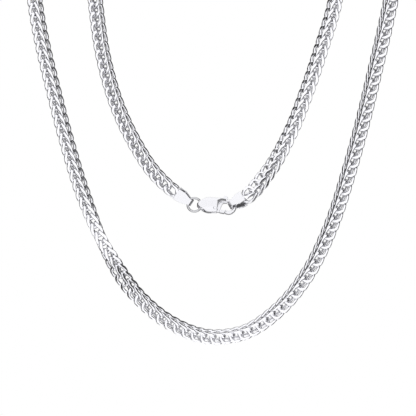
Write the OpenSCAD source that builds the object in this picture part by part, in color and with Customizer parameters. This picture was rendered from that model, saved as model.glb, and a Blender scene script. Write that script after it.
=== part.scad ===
// Franco chain necklace with a lobster clasp, hanging over two round pegs.
// Millimetres. X runs to the wearer's left, Z is up and the chain lies in the plane Y = 0.
// The origin is halfway between the two places where the chain rests on its pegs.

/* [Chain] */
// Side of the chain's square section
chain_side = 3; // [2.8:0.1:3.2]
// Cut across each corner of the square section
chain_corner = 0.55; // [0.4:0.05:0.7]

/* [End caps] */
// Thickness of the folded strip
strip_t = 0.35; // [0.3:0.05:0.45]
// Width of the strip where it is folded
fold_w = 1.7; // [1.4:0.1:1.9]
// Length from the middle of the fold to the chain, left cap
cap_l_len = 3.8; // [3.5:0.1:4.6]
// Length from the middle of the fold to the chain, right cap
cap_r_len = 3.1; // [2.9:0.1:3.8]

/* [Jump ring] */
// Outer diameter of the ring
ring_od = 4; // [3.8:0.1:4.4]
// Diameter of the ring's wire
ring_wire = 0.6; // [0.5:0.05:0.65]

/* [Clasp] */
// Height of the teardrop body
body_h = 4; // [3.8:0.1:4.3]
// Greatest thickness of the body
body_t = 2.6; // [2.4:0.1:2.8]
// Thickness of the body along its upper and lower edge
body_edge_t = 1.4; // [1.2:0.1:1.6]
// Thickness of the claw's wire
claw_t = 0.95; // [0.85:0.05:1.05]
// Outer radius of the claw
claw_r = 2; // [1.9:0.05:2.1]
// Width of the claw's wire, seen from the front
claw_w = 0.8; // [0.7:0.05:0.9]
// Bevel along the claw's edges
claw_bevel = 0.2; // [0.1:0.05:0.25]
// Outer radius of the eye
eye_r = 1.2; // [1.15:0.05:1.3]
// Radius of the eye's hole
eye_hole_r = 0.78; // [0.74:0.02:0.84]
// Height of the eye
eye_h = 1.3; // [1.1:0.1:1.5]

/* [Lever] */
// Thickness of the lever inside the body
lever_t = 0.6; // [0.5:0.05:0.7]
// Gap on each side of the lever
lever_gap = 0.06; // [0.04:0.01:0.08]
// Radius of the rivet
pin_r = 0.35; // [0.3:0.05:0.4]
// Gap between the rivet and the lever's bore
pin_gap = 0.04; // [0.03:0.01:0.06]
// Radius of the thumb nub
nub_r = 0.6; // [0.5:0.05:0.7]

/* [Hidden] */
$fn = 48;

// Gap between pieces that touch on the real chain, and between the claw and the cap on it
seat_gap = 0.06;
claw_gap = 0.15;
// Length that cutting shapes run past what they cut
past = 1;
// Flat steps along the round of each fold
arc_steps = 16;
// Greatest spacing of the tube's rings
ring_step = 6.2;

// Place and tilt of the clasp; its lower edge leans towards the viewer
clasp_x = 0.25;
clasp_z = -77.6;
clasp_tilt = -22;

// Directions of the two caps in the plane Y = 0, from fold to chain, and their rolls
cap_l_dir = 146;
cap_l_roll = -12;
cap_r_dir = 30;
cap_r_roll = -33;

// Places on the clasp, in its own plane: U to the claw, W up
edge_w = -body_h / 2;
body_u = -2;
neck_u = -3.88;
neck_r = 0.95;
claw_u = 2.95;
claw_w0 = edge_w + claw_r - 0.5;
claw_in_r = claw_r - claw_w;
claw_blend = 0.5;
// Stretch of the claw that is bevelled, in degrees round its middle
bevel_from = -60;
bevel_span = 170;
eye_u = neck_u;
eye_edge = 0.2;

// Rivet, hub and gate; the claw's tip leans over the gate's end
pivot_u = -0.5;
pivot_w = edge_w + 0.9;
hub_r = 0.75;
gate_top = edge_w + 0.55;
gate_h = 0.85;
gate_u = 0.6;
tip_u = claw_u - 0.65;
tip_lean = tan(30);
// Gap between the rivet and its bores in the body
pin_press = 0.005;

// Window of the claw: its left end is rounder than the claw
window_u = 1.45;
window_r = 1.25;
// Front edge of the cheeks: U, and W as a share of the window's height above the gate
cheek = [[-0.25, -0.93], [0.05, 0], [0.7, 0.49], [1, 0.67]];
// Edge of the lever from the gate up to the claw, with the same columns
riser = [[1.1, 0], [0.9, 0.09], [1, 0.35], [1.25, 0.67], [1.4, 0.81], [1.7, 0.9], [2.6, 0.9]];

// Thumb nub, on top of the claw, and the lever's neck under it
nub_u = 2.2;
nub_w = claw_w0 + claw_r + 0.38;
neck = [[nub_u + 0.4, nub_w - 0.38], [nub_u - 0.6, nub_w]];
// Back of the lever, above the hub
back_u = pivot_u - 0.6;
back_w = pivot_w + 0.4;
// Slot for the lever: behind the hub, over the gate and past the nub
slot_t = lever_t + 2 * lever_gap;
slot_back = pivot_u - hub_r - 0.15;
slot_gate = 1.7;
slot_nub = nub_u + nub_r + seat_gap;

// Jump ring: its wire passes through the eye and lies near the inside of the eye's outer wall
ring_r = (ring_od - ring_wire) / 2;
ring_lift = 0.1;
ring_sag = ring_r - sqrt(pow(ring_r, 2) - pow(eye_h / 2 + ring_lift, 2));
ring_reach = sqrt(pow(eye_hole_r - seat_gap - ring_wire / 2, 2) - pow(eye_h / 2 * sin(clasp_tilt), 2));
ring_x = clasp_x + eye_u - ring_reach + ring_sag - ring_r;
ring_z = clasp_z + ring_lift;

// A fold clears the curved wire that passes through it, over the strip's whole width
function bent_in(r) = sqrt(pow(r, 2) - pow(fold_w / 2, 2));
function rolled_by(roll) = fold_w / 2 * abs(sin(roll));
fold_l_at = (ring_r + bent_in(ring_r)) / 2;
fold_l_r = norm([ring_r - fold_l_at, rolled_by(cap_l_roll)]) + ring_wire / 2 + seat_gap;
fold_l_x = ring_x + fold_l_at * cos(cap_l_dir);
fold_l_z = ring_z + fold_l_at * sin(cap_l_dir);
fold_r_at = (claw_r + bent_in(claw_in_r)) / 2;
claw_twist = cap_r_roll - clasp_tilt * cos(cap_r_dir);
fold_r_r = norm([claw_r - fold_r_at - claw_bevel / 2, (claw_t - claw_bevel) / 2 + rolled_by(claw_twist)])
    + claw_gap;
fold_r_x = clasp_x + claw_u + fold_r_at * cos(cap_r_dir);
fold_r_z = clasp_z + claw_w0 * cos(clasp_tilt) + fold_r_at * sin(cap_r_dir);

// Chain ends: where the caps' legs stop
left_end = [fold_l_x + cap_l_len * cos(cap_l_dir), fold_l_z + cap_l_len * sin(cap_l_dir)];
right_end = [fold_r_x + cap_r_len * cos(cap_r_dir), fold_r_z + cap_r_len * sin(cap_r_dir)];

// Route of the chain's middle, left half: x, z and the roll of its section
route_left = [
    [left_end[0], left_end[1], 78],
    [-15.5, -69.5, 72],
    [-20.5, -62, 70],
    [-25, -52.5, 70],
    [-28.5, -40.5, 70],
    [-30.5, -27, 70],
    [-31.5, -16, 80],
    [-32, -6, 95],
    [-33, -2.25, 105],
    [-35.75, 0.5, 120],
    [-39.5, 1.5, 135],
    [-43.25, 0.5, 150],
    [-46, -2.25, 165],
    [-47, -6, 175],
    [-46.5, -16, 190],
    [-46, -25.5, 200],
    [-44, -37, 200],
    [-41.5, -47.5, 200],
    [-38, -61, 200],
    [-33.5, -75.5, 200],
    [-28, -88.5, 170],
    [-20, -100.5, 112],
    [-11.5, -107.5, 110],
    [-2, -111, 110]];
// Right half, from the lowest point on
route_right = [
    [-2, -111, 110],
    [7, -110, 110],
    [16, -104, 110],
    [23, -95.5, 110],
    [29, -83.5, 110],
    [33.5, -70, 110],
    [37, -57.5, 110],
    [40.5, -43, 110],
    [43.5, -30, 110],
    [46, -17, 115],
    [47, -6, 125],
    [46, -2.25, 130],
    [43.25, 0.5, 135],
    [39.5, 1.5, 140],
    [35.75, 0.5, 145],
    [33, -2.25, 150],
    [32, -6, 155],
    [31.5, -17, 160],
    [30, -27, 160],
    [27, -37, 160],
    [23.5, -47.5, 160],
    [18.5, -60, 160],
    [13, -69.5, 150],
    [right_end[0], right_end[1], 123]];

// Points of the route, and the chain's direction at each
function flat(row) = [row[0], row[1]];
function unit(v) = v / norm(v);
function mid_slope(a, b, c) =
    let (d0 = norm(b - a), d1 = norm(c - b))
    (d1 * (b - a) / d0 + d0 * (c - b) / d1) / (d0 + d1);
function slopes(p, first, last) = [
    for (i = [0:len(p) - 1])
        i == 0 ? first : i == len(p) - 1 ? last : mid_slope(p[i - 1], p[i], p[i + 1])];

// One stretch between two points, as a cubic through both with their slopes
function cubic(a, b, ma, mb, h, t) =
    (1 + 2 * t) * pow(1 - t, 2) * a + t * pow(1 - t, 2) * h * ma
    + t * t * (3 - 2 * t) * b + t * t * (t - 1) * h * mb;
function cubic_slope(a, b, ma, mb, h, t) =
    6 * t * (t - 1) * (a - b) / h + (1 - t) * (1 - 3 * t) * ma + t * (3 * t - 2) * mb;

// Stations along a route: point, direction and roll
function stations(route, first, last) =
    let (p = [for (row = route) flat(row)], m = slopes(p, first, last), n = len(p) - 1)
    [for (i = [0:n - 1])
        let (h = norm(p[i + 1] - p[i]), k = ceil(h / ring_step))
        for (j = [0:(i == n - 1 ? k : k - 1)])
            let (t = j / k)
            [cubic(p[i], p[i + 1], m[i], m[i + 1], h, t),
             unit(cubic_slope(p[i], p[i + 1], m[i], m[i + 1], h, t)),
             route[i][2] + (route[i + 1][2] - route[i][2]) * t]];

// Eight corners of the chain's section at one station
function corners() =
    let (a = chain_side / 2, b = a - chain_corner)
    [[a, -b], [a, b], [b, a], [-b, a], [-a, b], [-a, -b], [-b, -a], [b, -a]];
function section(s) =
    let (q = s[0], d = s[1], c = cos(s[2]), e = sin(s[2]))
    [for (k = corners())
        let (n = k[0] * c - k[1] * e, f = k[0] * e + k[1] * c)
        [q[0] - d[1] * n, -f, q[1] + d[0] * n]];

// Tube along a list of stations
module tube(st) {
    rings = len(st);
    sides = 8;
    points = [for (s = st) each section(s)];
    walls = [for (i = [0:rings - 2]) for (j = [0:sides - 1])
        let (a = i * sides + j, b = i * sides + (j + 1) % sides)
        each [[a, a + sides, b + sides], [a, b + sides, b]]];
    start = [[for (j = [0:sides - 1]) j]];
    stop = [[for (j = [sides - 1:-1:0]) (rings - 1) * sides + j]];
    polyhedron(points, concat(start, walls, stop), convexity = 10);
}

bottom_slope = mid_slope(flat(route_left[len(route_left) - 2]), flat(route_right[0]), flat(route_right[1]));

module chain_left() {
    color("silver")
        tube(stations(route_left, [cos(cap_l_dir), sin(cap_l_dir)], bottom_slope));
}

module chain_right() {
    color("silver")
        tube(stations(route_right, bottom_slope, [-cos(cap_r_dir), -sin(cap_r_dir)]));
}

// Angle at which a line from (x, y) touches a circle of radius r round the origin
function touch(r, x, y) = atan2(y, x) + acos(r / norm([x, y]));
function arc(r, from, to) = [for (i = [0:arc_steps])
    let (g = from + (to - from) * i / arc_steps)
    [r * cos(g), r * sin(g)]];

// End cap: a strip folded round a wire, its two legs running to the chain's faces
module end_cap(fold_r, length) {
    shoulder = 0.5 * length;
    a = chain_side / 2;
    b = a - strip_t;
    g = touch(fold_r + strip_t, length, a);
    h = touch(fold_r, length, b);
    intersection() {
        translate([0, 0, -a])
            linear_extrude(chain_side)
                polygon(concat([[length, a]], arc(fold_r + strip_t, g, 360 - g), [[length, -a]],
                               [[length, -b]], arc(fold_r, 360 - h, h), [[length, b]]));
        rotate([90, 0, 0])
            linear_extrude(4 * chain_side, center = true)
                polygon([[-4 * fold_r, -fold_w / 2], [0, -fold_w / 2], [shoulder, -a], [length, -a],
                         [length, a], [shoulder, a], [0, fold_w / 2], [-4 * fold_r, fold_w / 2]]);
    }
}

module end_cap_left() {
    color("silver")
        translate([fold_l_x, 0, fold_l_z])
            rotate([0, -cap_l_dir, 0])
                rotate([cap_l_roll, 0, 0])
                    end_cap(fold_l_r, cap_l_len);
}

module end_cap_right() {
    color("silver")
        translate([fold_r_x, 0, fold_r_z])
            rotate([0, -cap_r_dir, 0])
                rotate([cap_r_roll, 0, 0])
                    end_cap(fold_r_r, cap_r_len);
}

module jump_ring() {
    color("silver")
        translate([ring_x, 0, ring_z])
            rotate([90, 0, 0])
                rotate_extrude()
                    translate([ring_r, 0])
                        circle(ring_wire / 2);
}

// Moves a shape drawn in the clasp's plane, with its thickness along Z, to its place
module clasp_place() {
    translate([clasp_x, 0, clasp_z])
        rotate([90 + clasp_tilt, 0, 0])
            children();
}

// Teardrop and claw seen from the front
module clasp_outline() {
    r = body_h / 2;
    d = body_u - neck_u;
    g = acos((r - neck_r) / d);
    translate([body_u, 0])
        circle(r);
    translate([neck_u, 0])
        circle(neck_r);
    polygon([[body_u - r * cos(g), r * sin(g)], [neck_u - neck_r * cos(g), neck_r * sin(g)],
             [neck_u - neck_r * cos(g), -neck_r * sin(g)], [body_u - r * cos(g), -r * sin(g)]]);
    polygon([[body_u, r], [claw_u, claw_w0 + claw_r], [claw_u, claw_w0],
             [claw_u, -r], [body_u, -r]]);
    translate([claw_u, claw_w0])
        circle(claw_r);
}

// Points of a table whose second column is a share of the window's height above the gate
function above_gate(rows) = [
    for (row = rows)
        [row[0], gate_top + row[1] * (claw_w0 + claw_in_r - gate_top)]];

// Opening of the claw, with the gate's gap in the lower edge
module window_outline() {
    top = claw_w0 + claw_in_r;
    translate([claw_u, claw_w0])
        circle(claw_in_r);
    translate([window_u, top - window_r])
        circle(window_r);
    polygon(concat([[window_u, top], [claw_u, top], [claw_u, gate_top], [tip_u, gate_top],
                    [tip_u - 2 * tip_lean, gate_top - 2]], above_gate(cheek)));
}

// What a bevelled wire leaves of the claw's square edges
module claw_edges() {
    a = claw_w / 2;
    c = claw_t / 2;
    b = claw_bevel;
    translate([claw_u, claw_w0])
        rotate([0, 0, bevel_from])
            rotate_extrude(angle = bevel_span)
                translate([claw_in_r + a, 0])
                    difference() {
                        square([claw_w + b, 2 * claw_t], center = true);
                        polygon([[a, b - c], [a, c - b], [a - b, c], [b - a, c], [-a, c - b],
                                 [-a, b - c], [b - a, -c], [a - b, -c]]);
                    }
}

// Thickness of the clasp: seen from above, and across the body from edge to edge
module clasp_thickness() {
    a = body_t / 2;
    c = claw_t / 2;
    e = body_edge_t / 2;
    h = body_h / 2;
    intersection() {
        rotate([90, 0, 0])
            linear_extrude(2 * body_h, center = true)
                polygon([[neck_u - neck_r, -eye_r + eye_edge], [neck_u, -eye_r], [body_u, -a], [0, -a],
                         [claw_u - claw_blend, -c], [claw_u + claw_r + past, -c],
                         [claw_u + claw_r + past, c], [claw_u - claw_blend, c], [0, a], [body_u, a], [neck_u, eye_r],
                         [neck_u - neck_r, eye_r - eye_edge]]);
        rotate([90, 0, 90])
            linear_extrude(6 * body_h, center = true)
                polygon([[-h - past, -e], [-h, -e], [-h / 2, -a], [h / 2, -a], [h, -e], [h + past, -e],
                         [h + past, e], [h, e], [h / 2, a], [-h / 2, a], [-h, e], [-h - past, e]]);
    }
}

// Eye: a short tube with bevelled rims, its hole running up and down
module eye() {
    a = eye_h / 2;
    translate([eye_u, 0, 0])
        rotate([90, 0, 0])
            rotate_extrude()
                polygon([[eye_hole_r, a - eye_edge], [eye_hole_r + eye_edge, a], [eye_r - eye_edge, a],
                         [eye_r, a - eye_edge], [eye_r, eye_edge - a], [eye_r - eye_edge, -a],
                         [eye_hole_r + eye_edge, -a], [eye_hole_r, eye_edge - a]]);
}

module clasp_body() {
    color("silver")
        clasp_place()
            difference() {
                union() {
                    difference() {
                        intersection() {
                            linear_extrude(2 * body_t, center = true)
                                difference() {
                                    clasp_outline();
                                    window_outline();
                                }
                            clasp_thickness();
                        }
                        translate([eye_u, 0, 0])
                            rotate([90, 0, 0])
                                cylinder(r = (eye_hole_r + eye_r) / 2, h = 2 * body_h, center = true);
                        translate([eye_u - eye_r, 0, 0])
                            cube([2 * eye_r, 2 * body_h, 2 * eye_hole_r], center = true);
                    }
                    eye();
                }
                claw_edges();
                linear_extrude(slot_t, center = true)
                    polygon([[slot_back, -body_h], [slot_gate, -body_h], [slot_gate, claw_w0],
                             [slot_nub, claw_w0], [slot_nub, body_h], [slot_back, body_h]]);
                translate([pivot_u, pivot_w, 0])
                    cylinder(r = pin_r + pin_press, h = 2 * body_t, center = true);
            }
}

// End face of the gate, a little clear of the claw's tip
gate_end = [[tip_u - seat_gap - gate_h * tip_lean, gate_top - gate_h], [tip_u - seat_gap, gate_top]];

// Lever seen from the front: hub, gate, riser and thumb nub
module lever_outline() {
    translate([pivot_u, pivot_w])
        circle(hub_r);
    translate([nub_u, nub_w])
        circle(nub_r);
    polygon(concat([[pivot_u, pivot_w - hub_r]], gate_end, above_gate(riser), neck,
                   [[back_u, back_w], [pivot_u, pivot_w]]));
}

module clasp_lever() {
    color("silver")
        clasp_place()
            difference() {
                union() {
                    linear_extrude(lever_t, center = true)
                        lever_outline();
                    linear_extrude(claw_t, center = true)
                        polygon(concat([[gate_u, gate_top], [gate_u, gate_top - 0.7 * gate_h]], gate_end));
                }
                translate([pivot_u, pivot_w, 0])
                    cylinder(r = pin_r + pin_gap, h = 2 * body_t, center = true);
            }
}

module lever_pin() {
    color("silver")
        clasp_place()
            intersection() {
                translate([pivot_u, pivot_w, 0])
                    cylinder(r = pin_r, h = 2 * body_t, center = true);
                clasp_thickness();
            }
}

chain_left();
chain_right();
end_cap_left();
end_cap_right();
jump_ring();
clasp_body();
clasp_lever();
lever_pin();
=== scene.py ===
"""Franco chain necklace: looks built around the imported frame. Metres, with sizes written in millimetres."""
import math

import bmesh
import bpy
import numpy as np
from mathutils import Matrix


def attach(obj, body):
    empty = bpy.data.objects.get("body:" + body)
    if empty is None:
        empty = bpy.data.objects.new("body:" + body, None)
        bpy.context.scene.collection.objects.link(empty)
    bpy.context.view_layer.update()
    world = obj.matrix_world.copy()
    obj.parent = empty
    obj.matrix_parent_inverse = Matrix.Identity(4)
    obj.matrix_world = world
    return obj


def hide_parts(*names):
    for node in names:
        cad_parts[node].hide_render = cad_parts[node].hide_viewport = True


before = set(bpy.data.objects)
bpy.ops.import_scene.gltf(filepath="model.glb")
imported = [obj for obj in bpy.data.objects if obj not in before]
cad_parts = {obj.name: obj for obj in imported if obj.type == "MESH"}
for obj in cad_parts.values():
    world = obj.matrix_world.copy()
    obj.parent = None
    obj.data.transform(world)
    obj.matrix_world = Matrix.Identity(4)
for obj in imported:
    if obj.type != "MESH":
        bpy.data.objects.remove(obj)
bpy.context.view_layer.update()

MM = 0.001
# Corners nearer than this are one, in metres
JOIN = 1e-6

# Chain: pitch of its links, and half the side of its square section
PITCH = 2.41
HALF_SIDE = 1.49
# Half the wire's thickness where it lies free and where links press on each other, the step in which it is
# tried, and the gap between two links
THICKEST = 0.44
THINNEST = 0.3
RADIUS_STEP = 0.01
LINK_GAP = 0.03
# How far the last links reach into the caps
CAP_BITE = 0.6
# Points along a link's wire and around it, and how many times finer its neighbours' middles are sampled
LINK_STATIONS = 64
LINK_SIDES = 12
NEIGHBOUR_DETAIL = 4
# Points on the curve between two rows of the link's table, and between two rows of the route's
LINK_STEPS = 16
ROUTE_STEPS = 40

# Directions of the two end caps in the chain's plane, from fold to chain, in degrees
CAP_L_DIR = 146
CAP_R_DIR = 30

# The chain's ends lie within this reach of the clasp's middle, x and z, and an end face is this flat
CLASP_PLACE = (0.25, -77.6)
END_REACH = 14
END_FLAT = 0.01

# Route of the chain's middle, as in the part's source: x, z and the roll of its section, from left cap
# to the lowest point, and on to the right cap. Each end is where the cap stops.
ROUTE_LEFT = [
    (-15.5, -69.5, 72), (-20.5, -62, 70), (-25, -52.5, 70), (-28.5, -40.5, 70), (-30.5, -27, 70),
    (-31.5, -16, 80), (-32, -6, 95), (-33, -2.25, 105), (-35.75, 0.5, 120), (-39.5, 1.5, 135),
    (-43.25, 0.5, 150), (-46, -2.25, 165), (-47, -6, 175), (-46.5, -16, 190), (-46, -25.5, 200),
    (-44, -37, 200), (-41.5, -47.5, 200), (-38, -61, 200), (-33.5, -75.5, 200), (-28, -88.5, 170),
    (-20, -100.5, 112), (-11.5, -107.5, 110), (-2, -111, 110),
]
ROUTE_RIGHT = [
    (-2, -111, 110), (7, -110, 110), (16, -104, 110), (23, -95.5, 110), (29, -83.5, 110),
    (33.5, -70, 110), (37, -57.5, 110), (40.5, -43, 110), (43.5, -30, 110), (46, -17, 115),
    (47, -6, 125), (46, -2.25, 130), (43.25, 0.5, 135), (39.5, 1.5, 140), (35.75, 0.5, 145),
    (33, -2.25, 150), (32, -6, 155), (31.5, -17, 160), (30, -27, 160), (27, -37, 160),
    (23.5, -47.5, 160), (18.5, -60, 160), (13, -69.5, 150),
]
LEFT_END_ROLL = 78
RIGHT_END_ROLL = 123

# Right half of a link: t along the chain, u out to its rails face, v out to its V faces.
# From the tip of its V back along one edge, round the loop that hooks the link behind,
# and forward along the other edge to the crossing under the tip. The left half mirrors it.
LINK_HALF = [
    (-0.1, 0, 0.55), (-0.2, 0.3, 0.7), (-0.7, 0.75, 1.2), (-1.55, 1.12, 1.25), (-2.3, 1.2, 1.2),
    (-2.85, 1.2, 0.7), (-3.15, 0.95, 0.15), (-3.25, 0.55, -0.45), (-2.95, 0.45, -1.1), (-2.25, 0.75, -1.25),
    (-1.5, 1.12, -1.25), (-0.8, 1.2, -1.2), (-0.2, 1.18, -0.75), (0.1, 0.7, -0.3), (0.2, 0, -0.15),
]

# Silver of each piece: its brightness, and its roughness where it is smoothest and roughest. It is all one
# silver: the lower brightness of the caps, clasp, lever and rivet, and the much lower brightness of the ring,
# are painted shade that stands in for how dark those parts look under the light.
SILVER = {
    "silver_links": (0.92, 0.10, 0.22),
    "silver_cast_painted_shade": (0.8, 0.10, 0.18),
    "silver_wire_painted_shade": (0.55, 0.15, 0.25),
}
# Changes of polish: how many to the metre, their detail, and the strength and height of the waves they make
POLISH_SCALE = 900
POLISH_DETAIL = 3
WAVE_STRENGTH = 0.15
WAVE_HEIGHT = 0.02
# Blue of silver and of its light, as a share of their red and green
COOL = 1.02

# Pieces shown as their solids are: node, piece, voxel, rounds of smoothing, slot, body and silver
SOFT_PIECES = [
    # The caps, clasp, lever and rivet take silver darkened as painted shade, and the ring takes silver
    # darkened further as painted shade
    ("end_cap_left", "cap_left", 0.05, 4, "caps", "root", "silver_cast_painted_shade"),
    ("end_cap_right", "cap_right", 0.05, 4, "caps", "root", "silver_cast_painted_shade"),
    ("clasp_body", "clasp", 0.07, 24, "clasp", "root", "silver_cast_painted_shade"),
    ("clasp_lever", "lever", 0.04, 4, "lever", "lever", "silver_cast_painted_shade"),
    ("lever_pin", "rivet", 0.04, 0, "clasp", "root", "silver_cast_painted_shade"),
    ("jump_ring", "ring", 0.04, 4, "ring", "root", "silver_wire_painted_shade"),
]
SMOOTHING = 0.5

# The photograph's frame: its width at the chain's plane and its middle. Then the lens.
FRAME_WIDTH = 105.7
FRAME_X = -2.03
FRAME_Z = -78.3
LENS = 135
SENSOR = 36
NEAREST_SEEN = 10

# Floor: its height and half its side, in metres, and the paper that it is of
FLOOR_Z = -0.5
FLOOR_HALF = 0.25
PAPER_WHITE = 0.95
PAPER_ROUGHNESS = 0.8
PAPER_GLOW = 0.5

# The light tent's bright sides, the front and the sky, each as a direction and what is added to its nearness
TENT_FRONT = ((0.0, -1.0, 0.0), 0.0)
TENT_SKY = ((-0.3, -0.1, 0.9), -0.02)
# Its light, from furthest off both sides (grey, behind and below the chain) to right in one (bright).
# No direction is further off than 0.12.
TENT_LEVELS = [
    (0.11, 0.3), (0.3, 0.35), (0.5, 0.04), (0.71, 0.03), (0.77, 0.15), (0.82, 1.1), (1, 1.2),
]


def unit(v):
    return v / np.linalg.norm(v)


def heading(degrees):
    return np.array([math.cos(math.radians(degrees)), math.sin(math.radians(degrees))])


def end_of_tube(node, outward):
    """Middle of a tube's end face, in mm: the face that lies furthest along outward."""
    points = np.array([v.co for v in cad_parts[node].data.vertices]) / MM
    flat = points[:, [0, 2]]
    reach = flat @ outward
    # Only the vertices near the clasp can belong to the end
    near = np.linalg.norm(flat - CLASP_PLACE, axis=1) < END_REACH
    far = near & (reach > reach[near].max() - END_FLAT)
    return flat[far].min(0) / 2 + flat[far].max(0) / 2


def mid_slope(a, b, c):
    """Slope at b of a smooth curve through a, b and c."""
    d0, d1 = np.linalg.norm(b - a), np.linalg.norm(c - b)
    return (d1 * (b - a) / d0 + d0 * (c - b) / d1) / (d0 + d1)


def slopes(points, first, last):
    inner = [mid_slope(points[i - 1], points[i], points[i + 1]) for i in range(1, len(points) - 1)]
    return [first, *inner, last]


def cubic(a, b, ma, mb, h, t):
    """Point at share t of the curve from a to b, which lie h apart and have slopes ma and mb."""
    return (
        (1 + 2 * t) * (1 - t) ** 2 * a + t * (1 - t) ** 2 * h * ma
        + t * t * (3 - 2 * t) * b + t * t * (t - 1) * h * mb
    )


def sample_route(rows, first, last):
    """Points of a route with the roll at each, finely spaced."""
    points = [np.array(row[:2], float) for row in rows]
    m = slopes(points, first, last)
    found = []
    for i in range(len(rows) - 1):
        h = np.linalg.norm(points[i + 1] - points[i])
        for j in range(ROUTE_STEPS):
            t = j / ROUTE_STEPS
            x, z = cubic(points[i], points[i + 1], m[i], m[i + 1], h, t)
            found.append((x, z, rows[i][2] + (rows[i + 1][2] - rows[i][2]) * t))
    found.append(tuple(rows[-1]))
    return np.array(found)


def whole_route():
    """Points of the whole chain, the length up to each, and the length up to the lowest point."""
    left_end = end_of_tube("chain_left", -heading(CAP_L_DIR))
    right_end = end_of_tube("chain_right", -heading(CAP_R_DIR))
    left = [(*left_end, LEFT_END_ROLL), *ROUTE_LEFT]
    right = [*ROUTE_RIGHT, (*right_end, RIGHT_END_ROLL)]
    lowest = mid_slope(*(np.array(row[:2], float) for row in (left[-2], right[0], right[1])))
    a = sample_route(left, heading(CAP_L_DIR), lowest)
    b = sample_route(right, lowest, -heading(CAP_R_DIR))
    path = np.vstack([a, b[1:]])
    step = np.linalg.norm(np.diff(path[:, :2], axis=0), axis=1)
    length = np.concatenate([[0], np.cumsum(step)])
    return path, length, length[len(a) - 1]


class Route:
    """The chain's curve, by the distance along it from the left cap, in mm."""

    def __init__(self):
        self.path, self.length, self.lowest = whole_route()
        self.total = self.length[-1]
        self.slope = np.gradient(self.path[:, :2], self.length, axis=0)

    def place(self, s, u, v):
        """Points s along the curve, u towards its rails face and v towards its V face."""
        x, z, roll = (np.interp(s, self.length, self.path[:, i]) for i in range(3))
        beyond = s - np.clip(s, 0, self.total)
        tx, tz = (np.interp(s, self.length, self.slope[:, i]) for i in range(2))
        norm = np.hypot(tx, tz)
        tx, tz = tx / norm, tz / norm
        c, e = np.cos(np.radians(roll)), np.sin(np.radians(roll))
        n = u * c - v * e
        f = u * e + v * c
        return np.stack([x + tx * beyond - tz * n, -f, z + tz * beyond + tx * n], axis=-1)


def closed_cubic(points, count):
    """Evenly spaced points on a smooth closed curve through the given ones."""
    n = len(points)
    found = []
    for i in range(n):
        a, b, c, d = (points[(i + k - 1) % n] for k in range(4))
        h = np.linalg.norm(c - b)
        mb, mc = mid_slope(a, b, c), mid_slope(b, c, d)
        found += [cubic(b, c, mb, mc, h, j / LINK_STEPS) for j in range(LINK_STEPS)]
    found = np.array(found)
    ring = np.vstack([found, found[:1]])
    length = np.concatenate([[0], np.cumsum(np.linalg.norm(np.diff(ring, axis=0), axis=1))])
    at = np.linspace(0, length[-1], count, endpoint=False)
    return np.stack([np.interp(at, length, ring[:, i]) for i in range(3)], axis=-1)


def link_line():
    """Middle of a whole link's wire."""
    right = np.array(LINK_HALF, float)
    left = right[::-1][1:-1] * [1, -1, 1]
    whole = np.vstack([right, left])
    whole[:, 0] -= (whole[:, 0].min() + whole[:, 0].max()) / 2
    return closed_cubic(whole, LINK_STATIONS)


def room(points, line):
    """Distance from each point to the middle of the nearest neighbouring link."""
    others = np.vstack([line + [k * PITCH, 0, 0] for k in (-2, -1, 1, 2)])
    return np.linalg.norm(points[:, None] - others, axis=2).min(1)


def wire_ring(line, sides):
    """Points of a wire along a closed line, as thick as its neighbours leave room for."""
    along = np.roll(line, -1, 0) - np.roll(line, 1, 0)
    along /= np.linalg.norm(along, axis=1)[:, None]
    out = np.zeros_like(line)
    out[0] = unit(np.cross(along[0], [1.0, 0, 0]))
    for i in range(1, len(line)):
        out[i] = unit(out[i - 1] - along[i] * (out[i - 1] @ along[i]))
    side = np.cross(along, out)
    # Spread what twist is left at the closing evenly
    last = out[-1] - along[0] * (out[-1] @ along[0])
    twist = math.atan2(last @ side[0], last @ out[0])
    fine = closed_cubic(line, NEIGHBOUR_DETAIL * len(line))
    found = []
    for i in range(len(line)):
        g = -twist * i / len(line) + np.linspace(0, 2 * math.pi, sides, endpoint=False)
        ray = np.cos(g)[:, None] * out[i] + np.sin(g)[:, None] * side[i]
        radius = np.full(sides, THICKEST)
        for r in np.arange(THICKEST, THINNEST, -RADIUS_STEP):
            tight = (radius >= r) & (room(line[i] + r * ray, fine) < r + LINK_GAP)
            radius[tight] = r - RADIUS_STEP
        found.append(line[i] + radius[:, None] * ray)
    return np.array(found)


def ring_faces(stations, sides):
    """Faces of a closed wire whose points come station by station."""
    faces = []
    for i in range(stations):
        for j in range(sides):
            k, m = (i + 1) % stations, (j + 1) % sides
            faces.append((i * sides + j, k * sides + j, k * sides + m, i * sides + m))
    return faces


def make_mesh(name, points, faces):
    mesh = bpy.data.meshes.new(name)
    mesh.from_pydata([tuple(p) for p in points], [], faces)
    mesh.validate()
    mesh.update()
    mesh.shade_smooth()
    obj = bpy.data.objects.new(name, mesh)
    bpy.context.scene.collection.objects.link(obj)
    return obj


def make_chain(route):
    """Both halves of the chain: links laid along the route, each half joined into one mesh."""
    shape = wire_ring(link_line(), LINK_SIDES).reshape(-1, 3)
    shape[:, 1:] = np.clip(shape[:, 1:], -HALF_SIDE, HALF_SIDE)
    faces = np.array(ring_faces(LINK_STATIONS, LINK_SIDES))
    reach = np.abs(shape[:, 0]).max() - CAP_BITE
    count = int((route.total - 2 * reach) / PITCH) + 1
    pitch = (route.total - 2 * reach) / (count - 1)
    print("links", count, "pitch", round(pitch, 4))
    halves = {"chain_left": [], "chain_right": []}
    for k in range(count):
        middle = reach + k * pitch
        half = "chain_left" if middle < route.lowest else "chain_right"
        halves[half].append(route.place(middle + shape[:, 0], shape[:, 1], shape[:, 2]))
    for node, links in halves.items():
        points = np.vstack(links) * MM
        all_faces = np.vstack([faces + i * len(shape) for i in range(len(links))])
        piece = make_mesh(node.replace("chain", "links"), points, all_faces.tolist())
        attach(piece, "root")
        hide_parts(node)
        piece.data.materials.append(silver("silver_links"))


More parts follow.
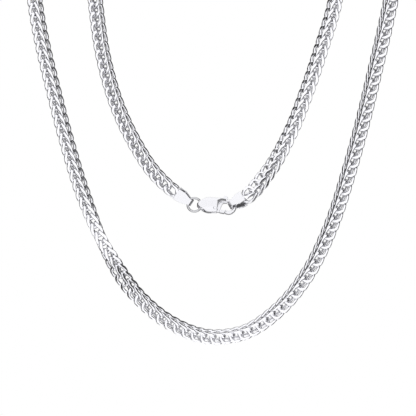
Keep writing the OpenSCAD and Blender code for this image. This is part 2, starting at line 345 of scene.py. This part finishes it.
def soft_copy(node, name, voxel, rounds, slot, body, material):
    """A CAD node's shape with its edges softened, as cast or tumbled metal has."""
    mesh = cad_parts[node].data.copy()
    mesh.materials.clear()
    piece = bpy.data.objects.new(name, mesh)
    bpy.context.scene.collection.objects.link(piece)
    bm = bmesh.new()
    bm.from_mesh(mesh)
    bmesh.ops.remove_doubles(bm, verts=bm.verts, dist=JOIN)
    bm.to_mesh(mesh)
    bm.free()
    # The remesher takes no voxel this small in metres, so it works in millimetres
    mesh.transform(Matrix.Scale(1 / MM, 4))
    remesh = piece.modifiers.new("remesh", "REMESH")
    remesh.mode = "VOXEL"
    remesh.voxel_size = voxel
    smooth = piece.modifiers.new("smooth", "SMOOTH")
    smooth.factor = SMOOTHING
    smooth.iterations = rounds
    bpy.context.view_layer.update()
    done = bpy.data.meshes.new_from_object(piece.evaluated_get(bpy.context.evaluated_depsgraph_get()))
    done.transform(Matrix.Scale(MM, 4))
    piece.modifiers.clear()
    piece.data = done
    done.shade_smooth()
    done.materials.clear()
    done.materials.append(silver(material))
    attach(piece, body)
    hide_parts(node)


def silver(name):
    """Polished silver: even colour, with fine changes of polish and faint waves in the surface."""
    found = bpy.data.materials.get(name)
    if found:
        return found
    brightness, smoothest, roughest = SILVER[name]
    material = bpy.data.materials.new(name)
    material.use_nodes = True
    nodes, links = material.node_tree.nodes, material.node_tree.links
    shader = nodes["Principled BSDF"]
    # Base colour: for the cast pieces and the ring, its lower brightness is painted shade
    shader.inputs["Base Color"].default_value = (brightness, brightness, brightness * COOL, 1)
    shader.inputs["Metallic"].default_value = 1
    place = nodes.new("ShaderNodeTexCoord")
    noise = nodes.new("ShaderNodeTexNoise")
    noise.inputs["Scale"].default_value = POLISH_SCALE
    noise.inputs["Detail"].default_value = POLISH_DETAIL
    polish = nodes.new("ShaderNodeMapRange")
    polish.inputs["To Min"].default_value = smoothest
    polish.inputs["To Max"].default_value = roughest
    bump = nodes.new("ShaderNodeBump")
    bump.inputs["Strength"].default_value = WAVE_STRENGTH
    bump.inputs["Distance"].default_value = WAVE_HEIGHT * MM
    links.new(place.outputs["Object"], noise.inputs["Vector"])
    links.new(noise.outputs["Fac"], polish.inputs["Value"])
    links.new(polish.outputs["Result"], shader.inputs["Roughness"])
    links.new(noise.outputs["Fac"], bump.inputs["Height"])
    links.new(bump.outputs["Normal"], shader.inputs["Normal"])
    return material


def make_floor():
    """Plain white floor below the chain, with a little glow of its own."""
    corners = [(-1, -1), (1, -1), (1, 1), (-1, 1)]
    points = [(x * FLOOR_HALF, y * FLOOR_HALF, FLOOR_Z) for x, y in corners]
    floor = make_mesh("floor", points, [(0, 1, 2, 3)])
    material = bpy.data.materials.new("paper")
    material.use_nodes = True
    shader = material.node_tree.nodes["Principled BSDF"]
    shader.inputs["Base Color"].default_value = (PAPER_WHITE, PAPER_WHITE, PAPER_WHITE, 1)
    shader.inputs["Roughness"].default_value = PAPER_ROUGHNESS
    shader.inputs["Emission Color"].default_value = (1, 1, 1, 1)
    shader.inputs["Emission Strength"].default_value = PAPER_GLOW
    floor.data.materials.append(material)


def nearness(nodes, links, place, direction, extra):
    """Node value: how near the looked-at direction is to the given one."""
    dot = nodes.new("ShaderNodeVectorMath")
    dot.operation = "DOT_PRODUCT"
    dot.inputs[1].default_value = unit(np.array(direction))
    add = nodes.new("ShaderNodeMath")
    add.inputs[1].default_value = extra
    links.new(place.outputs["Generated"], dot.inputs[0])
    links.new(dot.outputs["Value"], add.inputs[0])
    return add.outputs["Value"]


def make_world():
    """Light tent: bright in front and above, dark at the sides, grey behind and below.

    The camera itself sees white.
    """
    world = bpy.data.worlds.new("tent")
    bpy.context.scene.world = world
    world.use_nodes = True
    nodes, links = world.node_tree.nodes, world.node_tree.links
    place = nodes.new("ShaderNodeTexCoord")
    nearest = nodes.new("ShaderNodeMath")
    nearest.operation = "MAXIMUM"
    ramp = nodes.new("ShaderNodeValToRGB")
    for i, (at, level) in enumerate(TENT_LEVELS):
        # A new ramp has two elements
        element = ramp.color_ramp.elements[i] if i < 2 else ramp.color_ramp.elements.new(at)
        element.position = at
        element.color = (level, level, level * COOL, 1)
    shift = nodes.new("ShaderNodeMapRange")
    shift.inputs["From Min"].default_value = -1
    links.new(nearness(nodes, links, place, *TENT_FRONT), nearest.inputs[0])
    links.new(nearness(nodes, links, place, *TENT_SKY), nearest.inputs[1])
    links.new(nearest.outputs["Value"], shift.inputs["Value"])
    links.new(shift.outputs["Result"], ramp.inputs["Fac"])
    path = nodes.new("ShaderNodeLightPath")
    seen = nodes.new("ShaderNodeMix")
    seen.data_type = "RGBA"
    seen.inputs["B"].default_value = (1, 1, 1, 1)
    links.new(path.outputs["Is Camera Ray"], seen.inputs["Factor"])
    links.new(ramp.outputs["Color"], seen.inputs["A"])
    links.new(seen.outputs["Result"], nodes["Background"].inputs["Color"])


def make_camera():
    camera = bpy.data.objects.new("camera", bpy.data.cameras.new("camera"))
    bpy.context.scene.collection.objects.link(camera)
    camera.data.lens = LENS
    camera.data.sensor_width = SENSOR
    distance = FRAME_WIDTH * LENS / SENSOR
    camera.location = (FRAME_X * MM, -distance * MM, FRAME_Z * MM)
    camera.rotation_euler = (math.radians(90), 0, 0)
    camera.data.clip_start = NEAREST_SEEN * MM
    bpy.context.scene.camera = camera


make_camera()
make_floor()
make_world()

make_chain(Route())
for row in SOFT_PIECES:
    soft_copy(*row)

bpy.context.scene.view_settings.view_transform = "Standard"
bpy.context.scene.view_settings.look = "None"
